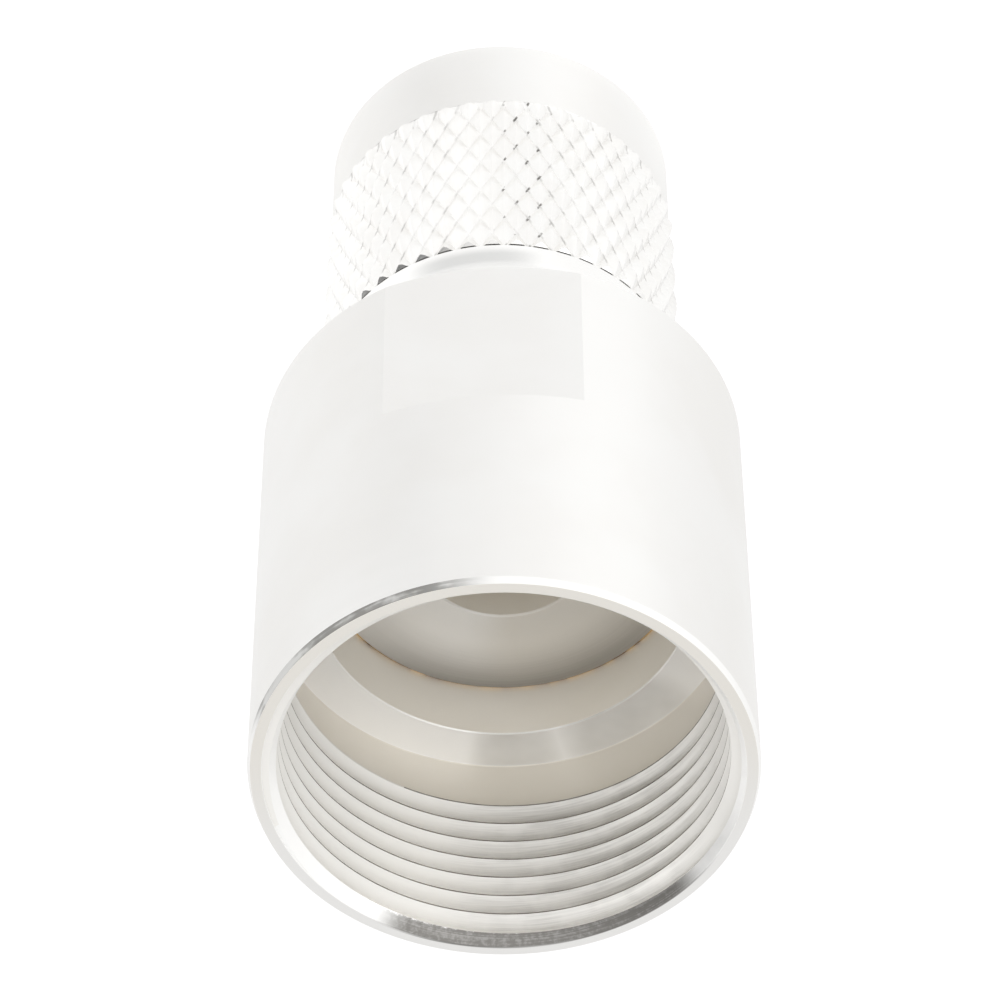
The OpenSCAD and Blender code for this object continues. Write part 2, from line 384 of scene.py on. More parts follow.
class Look:
    """A node material under construction, with short calls for the nodes that repeat."""

    def __init__(self, name):
        self.material = bpy.data.materials.new(name)
        self.material.use_nodes = True
        self.tree = self.material.node_tree
        self.shader = self.tree.nodes["Principled BSDF"]
        metres = self.add("ShaderNodeTexCoord").outputs["Object"]
        scaled = self.add("ShaderNodeVectorMath", {0: metres, "Scale": 1 / MM}, operation="SCALE")
        self.place = scaled.outputs[0]
        axes = self.add("ShaderNodeSeparateXYZ", {0: self.place}).outputs
        self.x, self.y, self.z = axes[0], axes[1], axes[2]
        squares = [self.math("POWER", axis, 2) for axis in (self.x, self.y)]
        self.radius = self.math("SQRT", self.math("ADD", *squares))

    def add(self, kind, inputs=None, **settings):
        """A new node with its settings and inputs."""
        node = self.tree.nodes.new(kind)
        for key, value in settings.items():
            setattr(node, key, value)
        for key, value in (inputs or {}).items():
            self.feed(node.inputs[key], value)
        return node

    def feed(self, socket, value):
        """Links an output to the socket, or sets a constant on it."""
        if isinstance(value, bpy.types.NodeSocket):
            self.tree.links.new(value, socket)
        else:
            socket.default_value = value

    def set(self, **values):
        """Feeds inputs of the shader, named in lower case with underscores."""
        for key, value in values.items():
            self.feed(self.shader.inputs[key.replace("_", " ").title()], value)

    def math(self, operation, *values):
        """The result of one operation."""
        return self.add("ShaderNodeMath", dict(enumerate(values)), operation=operation).outputs[0]

    def times(self, first, *others):
        """The product of all the values."""
        product = first
        for value in others:
            product = self.math("MULTIPLY", product, value)
        return product

    def ease(self, value, low, high, to_low=0.0, to_high=1.0):
        """The value's range mapped smoothly on to another."""
        inputs = {0: value, 1: low, 2: high, 3: to_low, 4: to_high}
        return self.add("ShaderNodeMapRange", inputs, interpolation_type="SMOOTHSTEP").outputs[0]

    def vary(self, noise, to_low, to_high):
        """Most of a noise's range mapped smoothly on to another."""
        return self.ease(noise, NOISE_LOW, NOISE_HIGH, to_low, to_high)

    def blend(self, factor, first, second):
        """From the first colour at factor 0 to the second at 1."""
        inputs = {0: factor, 6: first, 7: second}
        return self.add("ShaderNodeMix", inputs, data_type="RGBA").outputs[2]

    def noise(self, vector, scale, detail=2.0, roughness=0.5):
        """Noise between 0 and 1, with about as many patches as the scale in one unit of the vector."""
        sizes = {"Vector": vector, "Scale": scale, "Detail": detail, "Roughness": roughness}
        return self.add("ShaderNodeTexNoise", sizes).outputs[0]

    def dust(self):
        """The finest noise, the same in all directions."""
        return self.noise(self.place, DUST_SCALE)

    def rings(self, per_mm, wander):
        """Fine noise in rings round the axis, on walls and faces alike, that wanders along each ring."""
        along = self.math("MULTIPLY_ADD", self.radius, OUTWARD_WEIGHT, self.z)
        cosine = self.math("DIVIDE", self.x, self.radius)
        sine = self.math("DIVIDE", self.y, self.radius)
        inputs = {
            0: self.math("MULTIPLY", cosine, wander),
            1: self.math("MULTIPLY", sine, wander),
            2: self.math("MULTIPLY", along, per_mm),
        }
        return self.noise(self.add("ShaderNodeCombineXYZ", inputs).outputs[0], 1.0, detail=3.0)

    def window(self, angle, half, soft):
        """1 on a stretch of the circle round an angle in degrees, fading out over the soft degrees."""
        turn = math.radians(angle)
        across = self.math("MULTIPLY", self.y, math.sin(turn))
        along = self.math("MULTIPLY_ADD", self.x, math.cos(turn), across)
        cosine = self.math("DIVIDE", along, self.radius)
        return self.ease(cosine, math.cos(math.radians(half + soft)), math.cos(math.radians(half)))

    def groove(self, value, narrow, wide):
        """1 in the grooves of a repeating pattern, fading out between two shares of a repeat."""
        repeats = self.math("MULTIPLY_ADD", value, 1 / GROOVE_REPEAT, GROOVE_OFFSET)
        share = self.math("FRACT", repeats)
        nearest = self.math("MINIMUM", share, self.math("SUBTRACT", 1.0, share))
        return self.ease(nearest, wide, narrow)

    def brush(self, amount):
        """Stretches reflections across the rings that a lathe's tool leaves round the axis."""
        tangent = self.add("ShaderNodeTangent", direction_type="RADIAL", axis="Z").outputs[0]
        self.feed(self.shader.inputs["Tangent"], tangent)
        self.set(anisotropic=amount, anisotropic_rotation=ACROSS_RINGS)

    def bump(self, height, depth):
        """Sets the surface's bump, whose height of 1 stands for a depth in millimetres."""
        inputs = {"Height": height, "Distance": depth * MM, "Strength": 1.0}
        self.feed(self.shader.inputs["Normal"], self.add("ShaderNodeBump", inputs).outputs[0])


def colour(red, green, blue):
    """An opaque colour."""
    return (red, green, blue, 1.0)


SILVER = colour(0.93, 0.925, 0.91)
SILVER_DULL = colour(0.91, 0.90, 0.88)
SILVER_WARM = colour(0.95, 0.92, 0.86)
SILVER_PALE = colour(0.90, 0.885, 0.85)
SILVER_BRIGHT = colour(0.98, 0.97, 0.95)
# Silver of painted darker reflections, on the thread and the shoulder
SILVER_PAINTED_DARK = colour(0.70, 0.685, 0.655)
SILVER_TAN = colour(0.98, 0.945, 0.875)
SILVER_TAN_DULL = colour(0.95, 0.91, 0.83)
RELIEF_TAN = colour(0.87, 0.83, 0.76)
RELIEF_TAN_DULL = colour(0.84, 0.80, 0.72)
# Dark silver of the painted shade in the knurl and the painted reflection in the mouth, and of the rim face
# beside the mouth
DARK_SILVER = colour(0.195, 0.187, 0.175)
# Grey of the rim edge's wear, and of the painted shade along the knurl's grooves
EDGE_GREY = colour(0.30, 0.295, 0.28)
DISC_GREY = colour(0.86, 0.83, 0.775)
# Grey of the painted shade on the disc
PAINTED_SHADE_GREY = colour(0.24, 0.225, 0.20)
# Grey of the painted reflection on the collar
COLLAR_REFLECTION_GREY = colour(0.70, 0.70, 0.69)
SEAM_BRASS = colour(0.74, 0.52, 0.22)
SEAM_FLUX = colour(0.26, 0.15, 0.06)
# Painted shade along the thread's crest
CREST_DARK = colour(0.22, 0.20, 0.175)
CREST_GREY = colour(0.36, 0.34, 0.31)
GOLD = colour(0.85, 0.64, 0.26)
GOLD_DEEP = colour(0.76, 0.55, 0.20)
BRONZE = colour(0.62, 0.42, 0.22)
BRONZE_DEEP = colour(0.48, 0.31, 0.16)
PTFE = colour(0.88, 0.88, 0.86)
PTFE_DEEP = colour(0.82, 0.82, 0.79)
SILICONE = colour(0.52, 0.09, 0.04)
SILICONE_DEEP = colour(0.42, 0.07, 0.035)
WHITE = colour(1, 1, 1)
BLACK = colour(0, 0, 0)

# Stretches of the circle where a look changes, as (middle, half width, fade) in degrees. -90 is the front,
# which faces the camera, 90 is the back, and 0 is at the left of the picture.
# Painted shade and painted sheen on the disc
DISC_PAINTED_SHADE = (95, 20, 60)
DISC_PAINTED_SHEEN = (35, 22, 35)
# Painted darker reflection on the thread
THREAD_PAINTED_DARK = (108, 12, 32)
# Painted darker reflection on the shoulder, in two sectors
LEDGE_PAINTED_DARK = (89, 4, 11)
LEDGE_PAINTED_DARK_RIGHT = (121, 9, 15)
# Painted shade in the knurl's grooves
KNURL_MIDDLE = (-102, 5, 6)
KNURL_LEFT = (-45, 26, 16)
KNURL_RIGHT = (-136, 26, 16)
# Painted reflection on the collar
COLLAR_PAINTED_REFLECTION = (-86, 8, 16)
MOUTH_STRIP = (74, 22, 10)
# Painted dark reflection in the mouth
MOUTH_PAINTED_REFLECTION = (96, 35, 12)
RIM_EDGE_WEAR = (-54, 22, 18)
RIM_DARK_BY_MOUTH = (100, 28, 22)
RIM_WARMTH = (-90, 70, 50)
GLOW_BY_LAMP = (-144, 18, 45)
GLOW_IN_FRONT = (-55, 35, 45)
GLOW_AT_LEFT = (-8, 22, 35)


def silver(name, bright, dull, roughness, grain, ring_depth, metal):
    """Silver plate with turning rings, slow clouding between two colours and a roughness that varies.
    Its reflections stretch across the rings by the grain. A metal share below 1 makes it more satin."""
    cloud_mm = 6.0
    spread = 0.10
    dust_height = 0.4
    look = Look(name)
    rings = look.rings(per_mm=9.0, wander=1.2)
    dust = look.dust()
    clouds = look.noise(look.place, 1 / cloud_mm, detail=3.0)
    tone = look.ease(clouds, CLOUD_LOW, CLOUD_HIGH)
    look.set(base_color=look.blend(tone, bright, dull), metallic=metal)
    both = look.math("ADD", rings, dust)
    look.set(roughness=look.math("MULTIPLY_ADD", both, spread, roughness - spread))
    look.brush(grain)
    look.bump(look.math("MULTIPLY_ADD", dust, dust_height, rings), ring_depth)
    return look.material


def disc_look():
    """Turned face with painted shade, darker towards its edge and most of all at the back, and a
    painted sheen that lightens it on one side."""
    shade_start_r = 4.6
    shade_full_r = 7.5
    least = 0.22
    more_at_back = 0.70
    look = Look("silver_disc")
    rings = look.rings(per_mm=7.0, wander=0.8)
    outward = look.ease(look.radius, shade_start_r, shade_full_r)
    side = look.math("MULTIPLY_ADD", look.window(*DISC_PAINTED_SHADE), more_at_back, least)
    # Painted shade: darker towards the edge, most of all at the back
    painted_shade = look.times(outward, side, look.ease(rings, 0.2, 0.7, to_low=0.90))
    # Painted sheen: lighter on one side
    base_tone = look.blend(look.window(*DISC_PAINTED_SHEEN), DISC_GREY, SILVER_BRIGHT)
    look.set(base_color=look.blend(painted_shade, base_tone, PAINTED_SHADE_GREY), metallic=0.6, roughness=0.30)
    look.brush(amount=0.8)
    look.bump(rings, depth=0.0002)
    return look.material


def thread_look():
    """Cut thread with fine streaks along its turns, and a painted darker reflection at the back."""
    look = Look("silver_thread")
    streaks = look.rings(per_mm=10.0, wander=4.0)
    patches = look.noise(look.place, scale=0.8, detail=3.0)
    patched = look.ease(patches, 0.35, 0.6, to_low=0.5)
    streaked = look.ease(streaks, 0.35, 0.65, to_low=0.35)
    # Painted darker reflection on the stretch at the back
    grey = look.times(look.window(*THREAD_PAINTED_DARK), patched, streaked)
    look.set(base_color=look.blend(grey, SILVER_PALE, SILVER_PAINTED_DARK), metallic=0.55)
    look.set(roughness=look.vary(streaks, to_low=0.30, to_high=0.42))
    look.brush(amount=0.6)
    look.bump(streaks, depth=0.0015)
    return look.material


def ledge_look():
    """Turned shoulder whose sheen is painted: broad sectors of it are darker, as painted reflection."""
    look = Look("silver_ledge")
    rings = look.rings(per_mm=8.0, wander=0.8)
    clouds = look.noise(look.place, scale=0.5)
    # Painted reflection: broad sectors darker
    sectors = look.math("MAXIMUM", look.window(*LEDGE_PAINTED_DARK), look.window(*LEDGE_PAINTED_DARK_RIGHT))
    tone = look.times(sectors, look.ease(clouds, 0.3, 0.7, to_low=0.75))
    look.set(base_color=look.blend(tone, SILVER_BRIGHT, SILVER_PAINTED_DARK), metallic=0.3)
    look.set(roughness=look.vary(rings, to_low=0.28, to_high=0.34))
    look.brush(amount=0.8)
    look.bump(rings, depth=0.0002)
    return look.material


def knurl_look():
    """Knurled silver with painted shade in short strokes where grooves cross: along the falling grooves on
    one side of the front and darkest near its middle, and along the rising ones on the other side."""
    # Where a stroke's width and length start and end to fade, in shares of a groove's repeat
    line_width = (0.03, 0.09)
    line_length = (0.10, 0.32)
    spot_width = (0.03, 0.08)
    spot_length = (0.10, 0.24)
    look = Look("silver_knurled")
    dust = look.dust()
    patches = look.noise(look.place, scale=0.9, detail=3.0)
    breaks = look.noise(look.place, scale=2.4)
    turn = look.math("ARCTAN2", look.y, look.x)
    across = look.math("MULTIPLY_ADD", turn, KNURL_COUNT / math.pi, KNURL_PHASE)
    climb = look.math("SUBTRACT", look.z, knurl_start)
    along = look.times(climb, KNURL_ROWS / (nut_len - knurl_start))
    upward = look.math("ADD", across, along)
    downward = look.math("SUBTRACT", across, along)
    rising = look.times(look.groove(upward, *line_width), look.groove(downward, *line_length))
    falling = look.times(look.groove(downward, *line_width), look.groove(upward, *line_length))
    crossing = look.times(look.groove(downward, *spot_width), look.groove(upward, *spot_length))
    left = look.times(falling, look.window(*KNURL_LEFT))
    right = look.times(rising, look.window(*KNURL_RIGHT))
    patched = look.ease(patches, 0.4, 0.55, to_low=0.12, to_high=0.45)
    # Painted shade along the grooves on both sides of the front
    lines = look.times(look.math("ADD", left, right), patched)
    broken = look.times(look.window(*KNURL_MIDDLE), look.ease(breaks, 0.42, 0.56))
    # Painted shade where grooves cross, near the middle of the front
    spots = look.times(crossing, broken)
    base_tone = look.blend(look.ease(patches, CLOUD_LOW, CLOUD_HIGH), SILVER, SILVER_DULL)
    lined = look.blend(lines, base_tone, EDGE_GREY)
    look.set(base_color=look.blend(spots, lined, DARK_SILVER), metallic=1.0)
    look.set(roughness=look.vary(dust, to_low=0.28, to_high=0.38))
    look.bump(dust, depth=0.0004)
    return look.material


def polished_look():
    """Polished silver of the collar, with a painted grey reflection on the stretch below the wrench flat."""
    band_top = z_neck - 0.25
    band_full_top = z_neck - 0.6
    band_full_low = z_collar + 0.6
    band_low = z_collar + 0.05
    look = Look("silver_polished")
    rings = look.rings(per_mm=9.0, wander=1.2)
    below_neck = look.ease(look.z, band_top, band_full_top)
    above_nut = look.ease(look.z, band_low, band_full_low)
    # Painted reflection: a grey band below the wrench flat
    reflection_band = look.times(look.window(*COLLAR_PAINTED_REFLECTION), below_neck, above_nut)
    look.set(base_color=look.blend(reflection_band, SILVER, COLLAR_REFLECTION_GREY), metallic=1.0)
    look.set(roughness=look.vary(rings, to_low=0.22, to_high=0.27))
    look.bump(rings, depth=0.0003)
    return look.material


def mouth_look():
    """The mouth's chamfer: grainy, with a painted dark reflection on the stretch at the back that spares
    a strip along part of its inner edge."""
    raggedness = 0.2
    strip_full_r = gland_r + 0.22
    strip_end_r = gland_r + 0.30
    look = Look("silver_mouth_edge")
    streaks = look.rings(per_mm=14.0, wander=1.6)
    grain = look.noise(look.place, scale=5.0, detail=4.0, roughness=0.7)
    mixed = look.math("ADD", streaks, grain)
    ragged_r = look.math("MULTIPLY_ADD", grain, raggedness, look.radius)
    inner = look.ease(ragged_r, strip_end_r, strip_full_r)
    strip = look.times(look.window(*MOUTH_STRIP), inner)
    beside_strip = look.math("SUBTRACT", 1.0, strip)
    mottled = look.ease(mixed, 0.8, 1.1, to_low=0.85)
    # Painted dark reflection on the stretch at the back, spared along the strip
    darkened = look.times(look.window(*MOUTH_PAINTED_REFLECTION), mottled, beside_strip)
    look.set(base_color=look.blend(darkened, SILVER, DARK_SILVER), metallic=0.5)
    look.set(roughness=look.ease(grain, 0.3, 0.7, to_low=0.30, to_high=0.42))
    look.bump(mixed, depth=0.0012)
    return look.material


def rim_edge_look():
    """The rim's outer edge: handled until it is grey, in patches, on the stretch at the front left."""
    patch_share = 1.2
    look = Look("silver_rim_edge")
    streaks = look.rings(per_mm=14.0, wander=1.6)
    patches = look.rings(per_mm=3.0, wander=8.0)
    mixed = look.math("MULTIPLY_ADD", patches, patch_share, streaks)
    darkened = look.times(look.window(*RIM_EDGE_WEAR), look.ease(mixed, 0.9, 1.2, to_low=0.45))
    look.set(base_color=look.blend(darkened, SILVER, EDGE_GREY), metallic=0.8)
    look.set(roughness=look.ease(streaks, 0.3, 0.7, to_low=0.42, to_high=0.54))
    look.bump(mixed, depth=0.0012)
    return look.material


def rim_look():
    """The rim's flat face: warm at the front, and darker next to the mouth on the stretch at the back."""
    dark_full_r = mouth_r + 0.03
    dark_end_r = mouth_r + 0.1
    look = Look("silver_rim_face")
    streaks = look.rings(per_mm=14.0, wander=1.6)
    by_mouth = look.ease(look.radius, dark_end_r, dark_full_r)
    streaked = look.ease(streaks, 0.35, 0.6, to_low=0.6)
    darkened = look.times(look.window(*RIM_DARK_BY_MOUTH), by_mouth, streaked)
    base_tone = look.blend(look.window(*RIM_WARMTH), SILVER_BRIGHT, SILVER_WARM)
    look.set(base_color=look.blend(darkened, base_tone, DARK_SILVER), metallic=0.8)
    look.set(roughness=look.vary(streaks, to_low=0.28, to_high=0.36))
    look.bump(streaks, depth=0.0008)
    return look.material


def seam_look():
    """Brown line of bare brass and old flux in the joint between front body and barrel."""
    look = Look("seam")
    patches = look.ease(look.noise(look.place, scale=1.6, detail=3.0), 0.4, 0.62)
    look.set(base_color=look.blend(patches, SEAM_BRASS, SEAM_FLUX), metallic=0.3)
    look.set(roughness=look.ease(patches, 0, 1, to_low=0.4, to_high=0.7))
    return look.material


def crest_look():
    """Painted shade: a dark line along the crest of the cut thread."""
    look = Look("thread_crest")
    patches = look.ease(look.noise(look.place, scale=1.2), 0.35, 0.65)
    look.set(base_color=look.blend(patches, CREST_DARK, CREST_GREY), metallic=0.6)
    look.set(roughness=look.ease(patches, 0, 1, to_low=0.4, to_high=0.5))
    return look.material


def soft_look(name, first, second, roughness, grain_mm, metal=0.0):
    """A plain material whose colour and roughness vary gently."""
    spread = 0.15
    look = Look(name)
    clouds = look.noise(look.place, 1 / grain_mm, detail=3.0)
    look.set(base_color=look.blend(look.ease(clouds, 0.35, 0.65), first, second), metallic=metal)
    look.set(roughness=look.math("MULTIPLY_ADD", clouds, spread, roughness - spread / 2))
    look.bump(look.noise(look.place, scale=9.0), depth=0.002)
    return look.material


outside = silver(
    "silver_outside", SILVER, SILVER_DULL,
    roughness=0.42, grain=0.85, ring_depth=0.0006, metal=1.0,
)
inside = silver(
    "silver_inside", SILVER_TAN, SILVER_TAN_DULL,
    roughness=0.38, grain=0.5, ring_depth=0.0008, metal=0.2,
)
relief = silver(
    "silver_relief", RELIEF_TAN, RELIEF_TAN_DULL,
    roughness=0.38, grain=0.5, ring_depth=0.0008, metal=0.35,
)
hole = silver(
    "silver_hole", SILVER_TAN, SILVER_TAN_DULL,
    roughness=0.40, grain=0.3, ring_depth=0.0005, metal=0.05,
)
disc = disc_look()
thread = thread_look()
ledge = ledge_look()
knurled = knurl_look()
polished = polished_look()
mouth_edge = mouth_look()
rim_edge = rim_edge_look()
rim_face = rim_look()
seam = seam_look()
crest = crest_look()
gold = soft_look("gold", GOLD, GOLD_DEEP, roughness=0.25, grain_mm=1.5, metal=1.0)
bronze = soft_look("bronze", BRONZE, BRONZE_DEEP, roughness=0.35, grain_mm=1.5, metal=1.0)
ptfe = soft_look("ptfe", PTFE, PTFE_DEEP, roughness=0.5, grain_mm=2.0)
silicone = soft_look("silicone", SILICONE, SILICONE_DEEP, roughness=0.6, grain_mm=1.0)


def make_barrel():
    """The turned shell, with two wrench flats outside and the gland's thread inside."""
    piece = lathe("barrel_shell", [
        (bore_r, z_barrel, EASED),
        (barrel_r - NOSE_CHAMFER, z_barrel, SOFT),
        (barrel_r, z_barrel + NOSE_CHAMFER, NOSE_ROUND),
        (barrel_r, z_rim - RIM_EDGE_LEN, EASED),
        (barrel_r - RIM_EDGE_W, z_rim, FINE),
        (mouth_r, z_rim, BROKEN),
        (gland_r, z_rim - MOUTH_CHAMFER, SHARP),
        (gland_r, z_thread_end, BROKEN),
        (relief_r, z_thread_end, BROKEN),
        (relief_r, z_shoulder, SOFT),
        (bore_r + SHOULDER_EDGE, z_shoulder, KEEN),
        (bore_r, z_shoulder - SHOULDER_EDGE, KEEN),
    ])
    deep = barrel_r - FLAT_DEPTH
    far = barrel_r + REACH
    far_rise = FLAT_LEAN / FLAT_DEPTH * REACH
    for side in (1, -1):
        cut_away(piece, prism("flat_cutter", [
            (side * far, z_barrel - REACH),
            (side * deep, z_barrel - REACH),
            (side * deep, z_flat_end - FLAT_LEAN),
            (side * far, z_flat_end + far_rise),
        ], barrel_r))
    cut_away(piece, thread_cutter(
        minor_r=gland_r,
        major_r=gland_major_r,
        pitch=GLAND_PITCH,
        crest_w=GLAND_CREST,
        low=z_thread_end - GLAND_RUN_OUT,
        high=z_rim + GLAND_RUN_IN,
        turn_offset=GLAND_TURN,
    ))

    def choose(r, z):
        depth = z_rim - z
        if depth < MARGIN / 2:
            return rim_face
        if depth < RIM_EDGE_LEN + 3 * MARGIN and r > gland_major_r + 2 * MARGIN:
            return rim_edge
        if depth < MOUTH_CHAMFER + MARGIN and abs(mouth_r - depth - r) < 2 * MARGIN:
            return mouth_edge
        if r < bore_r + MARGIN:
            return inside
        if r > relief_r + MARGIN or z < z_shoulder - SHOULDER_EDGE - MARGIN:
            return outside
        if z < z_shoulder + MARGIN:
            return ledge
        if z < z_thread_end + 2 * MARGIN:
            return relief
        if z > z_thread_end + GLAND_PITCH / 2 and r < gland_r + 1.5 * MARGIN:
            return crest
        return thread

    materials = [outside, inside, mouth_edge, rim_edge, rim_face, thread, ledge, crest, relief]
    paint(piece, materials, choose)
    mount(piece, "barrel", "body")


def collar_rear():
    """Corners of the collar's rounded rear edge, a quarter of an ellipse down to the neck."""
    corners = []
    for step in range(COLLAR_ROUND_STEPS + 1):
        turn = math.pi / 2 * step / COLLAR_ROUND_STEPS
        height = z_neck - COLLAR_ROUND_LEN * (1 - math.sin(turn))
        corners.append((neck_r + COLLAR_STEP * math.cos(turn), height, SHARP))
    return corners


def make_front_body():
    """The turned piece from the slotted contact tube, past the collar, to the face in the barrel's bore."""
    groove_low = z_ring_low - RING_SIDE_CLEAR
    groove_high = z_ring_high + RING_SIDE_CLEAR
    piece = lathe("front_body_turned", [
        (tube_bore_r + TUBE_EDGE, z_tube, BROKEN),
        (tube_r - TUBE_EDGE, z_tube, BROKEN),
        (tube_r, z_tube + TUBE_EDGE, BROKEN),
        (tube_r, z_shank, EASED),
        (SHANK_R - SHANK_CHAMFER, z_shank, EASED),
        (SHANK_R, z_shank + SHANK_CHAMFER, EASED),
        (SHANK_R, groove_low, CRISP),
        (RING_GROOVE_R, groove_low, CRISP),
        (RING_GROOVE_R, groove_high, CRISP),
        (SHANK_R, groove_high, CRISP),
        (SHANK_R, z_collar, EASED),
        (COLLAR_R, z_collar, CRISP),
        *collar_rear(),
        (neck_r, z_barrel, CRISP),
        (bore_r, z_barrel, FINE),
        (bore_r, z_face - FACE_CHAMFER, FINE),
        (bore_r - FACE_CHAMFER, z_face, FINE),
        (FEED_R + FEED_EDGE, z_face, FEED_ROUND),
        (FEED_R, z_face - FEED_EDGE, FEED_ROUND),
        (FEED_R, z_insulator_end, SHARP),
        (tube_bore_r, z_insulator_end, SHARP),
        (tube_bore_r, z_tube + TUBE_EDGE, BROKEN),
    ])
    for index in range(SLOT_COUNT):
        slot = prism("slot_cutter", [
            (tube_bore_r - REACH, z_tube - REACH),
            (tube_r + REACH, z_tube - REACH),
            (tube_r + REACH, z_tube + SLOT_LEN),
            (tube_bore_r - REACH, z_tube + SLOT_LEN),
        ], SLOT_W / 2)
        # The cutter is made along +Y, which is 90 degrees round from +X
        turn = math.radians(360 * (index + 0.5) / SLOT_COUNT - 90)
        slot.data.transform(Matrix.Rotation(turn, 4, "Z"))
        cut_away(piece, slot)

    def choose(r, z):
        if z > z_face - FACE_CHAMFER - 2 * MARGIN:
            return seam if r > bore_r - FACE_CHAMFER else disc
        if z_collar - MARGIN < z < z_barrel + MARGIN and r > SHANK_R:
            return polished
        return hole if r < tube_bore_r + 5 * MARGIN else outside

    paint(piece, [polished, disc, seam, hole, outside], choose)
    mount(piece, "front_body", "body")


def knurl_shares(across, along):
    """Shares of a repeat at which a place lies between the rising grooves and between the falling ones."""
    return (across + along) / 2 % 1, (across - along) / 2 % 1


def knurl_height(column, z):
    """Share of the knurl's depth at a place: 0 in the crossing grooves and 1 on a diamond's peak."""
    across = column / KNURL_STEPS + KNURL_PHASE
    along = (z - knurl_start) / (nut_len - knurl_start) * KNURL_ROWS
    rising, falling = knurl_shares(across, along)
    wedge = min(1 - abs(2 * rising - 1), 1 - abs(2 * falling - 1))
    pillow = math.sin(math.pi * rising) * math.sin(math.pi * falling)
    return KNURL_WEDGE * wedge + KNURL_PILLOW * pillow


def knurl_ring(z, columns):
    """Points round the nut at a height in the knurl, which grows deeper and taller from the band's end."""
    highest = band_r + (z - BAND_LEN)
    lowest = band_r - KNURL_RUNOUT * (z - BAND_LEN)

    def knurl_r(column):
        free = groove_r + KNURL_DEPTH * knurl_height(column, z)
        return max(lowest, min(free, highest))

    return ring_of(knurl_r, z, columns)


def make_nut():
    """The nut, turned inside and at its band, with a diamond knurl behind the band."""
    groove_low = z_ring_low - RING_NUT_CLEAR
    groove_high = z_ring_high + RING_NUT_CLEAR
    lead_end = LEAD_IN_LEN + LEAD_IN_R - coupling_minor_r
    # The last corner only gives the band's end its direction, and the knurl follows in its place
    turned = rounded([
        (groove_r - KNURL_SINK, nut_len, NUT_END_ROUND),
        (NUT_BORE_R, nut_len, NUT_BORE_ROUND),
        (NUT_BORE_R, groove_high, CRISP),
        (ring_out_r + RING_NUT_CLEAR, groove_high, CRISP),
        (ring_out_r + RING_NUT_CLEAR, groove_low, CRISP),
        (NUT_BORE_R, groove_low, CRISP),
        (NUT_BORE_R, z_step, CRISP),
        (coupling_minor_r, z_step, BROKEN),
        (coupling_minor_r, lead_end, SHARP),
        (LEAD_IN_R, LEAD_IN_LEN, CRISP),
        (LEAD_IN_R, NUT_MOUTH_CHAMFER, BROKEN),
        (LEAD_IN_R + NUT_MOUTH_CHAMFER, 0, BROKEN),
        (band_r - BAND_CHAMFER, 0, EASED),
        (band_r, BAND_CHAMFER, EASED),
        (band_r, BAND_LEN, BAND_END_ROUND),
        (groove_r - KNURL_SINK, BAND_LEN, SHARP),
    ])[:-1]
    columns = 2 * KNURL_COUNT * KNURL_STEPS
    rows = KNURL_ROWS * KNURL_STEPS
    z_lead = BAND_LEN + BAND_END_ROUND
    lead_len = knurl_start - BAND_LEN - BAND_END_ROUND
    knurl_len = nut_len - NUT_END_ROUND - knurl_start
    heights = [z_lead + lead_len * row / KNURL_LEAD_ROWS for row in range(KNURL_LEAD_ROWS)]
    heights += [knurl_start + knurl_len * row / rows for row in range(rows + 1)]
    rings = [ring_of(r, z, columns) for r, z in turned]
    first_full_ring = len(rings) + KNURL_LEAD_ROWS
    rings += [knurl_ring(z, columns) for z in heights]

    def leaning(ring, column):
        if ring < first_full_ring:
            return None
        across = (column + 0.5) / KNURL_STEPS + KNURL_PHASE
        along = (ring - first_full_ring + 0.5) / KNURL_STEPS
        rising, falling = knurl_shares(across, along)
        return min(falling, 1 - falling) < min(rising, 1 - rising)

    piece = skin("coupling_nut_knurled", rings, leaning)
    cut_away(piece, lathe("rear_cutter", [
        (peak_r + REACH, nut_len - NUT_REAR_CHAMFER - REACH, SHARP),
        (peak_r + REACH, nut_len + REACH, SHARP),
        (peak_r - NUT_REAR_CHAMFER - REACH, nut_len + REACH, SHARP),
    ]))
    cut_away(piece, thread_cutter(
        minor_r=coupling_minor_r,
        major_r=COUPLING_R,
        pitch=COUPLING_PITCH,
        crest_w=COUPLING_CREST,
        low=COUPLING_LOW,
        high=z_step + COUPLING_RUN_OUT,
        turn_offset=COUPLING_TURN,
    ))

    def choose(r, z):
        if r < LEAD_IN_R + 5 * MARGIN or z < MARGIN:
            return inside
        return knurled if z > BAND_LEN - 2 * MARGIN else outside

    paint(piece, [outside, inside, knurled], choose)
    mount(piece, "coupling_nut", "nut", KNURL_SMOOTH_ANGLE)


def make_inner_pieces():
    """The gasket and the insulator, and the looks of the two pieces that keep their CAD mesh."""
    gasket = lathe("gasket_ring", [
        (tube_r, z_gasket, GASKET_INNER_ROUND),
        (gasket_r, z_gasket, GASKET_OUTER_ROUND),
        (gasket_r, z_shank, GASKET_OUTER_ROUND),
        (tube_r, z_shank, GASKET_INNER_ROUND),
    ])
    gasket.data.materials.append(silicone)
    mount(gasket, "gasket", "body")
    bead = lathe("insulator_bead", [
        (CONTACT_R, z_insulator, EASED),
        (tube_bore_r, z_insulator, SOFT),
        (tube_bore_r, z_insulator_end, BROKEN),
        (CONTACT_R, z_insulator_end, EASED),
    ])
    bead.data.materials.append(ptfe)
    mount(bead, "insulator", "body")
    for node, material in (("retaining_ring", bronze), ("centre_contact", gold)):
        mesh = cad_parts[node].data
        mesh.materials.clear()
        mesh.materials.append(material)


make_barrel()
make_front_body()
make_nut()
make_inner_pieces()


# Floor, surroundings, lamps and camera. Lengths are in metres, but those of the glow and the camera's place
# are in millimetres.

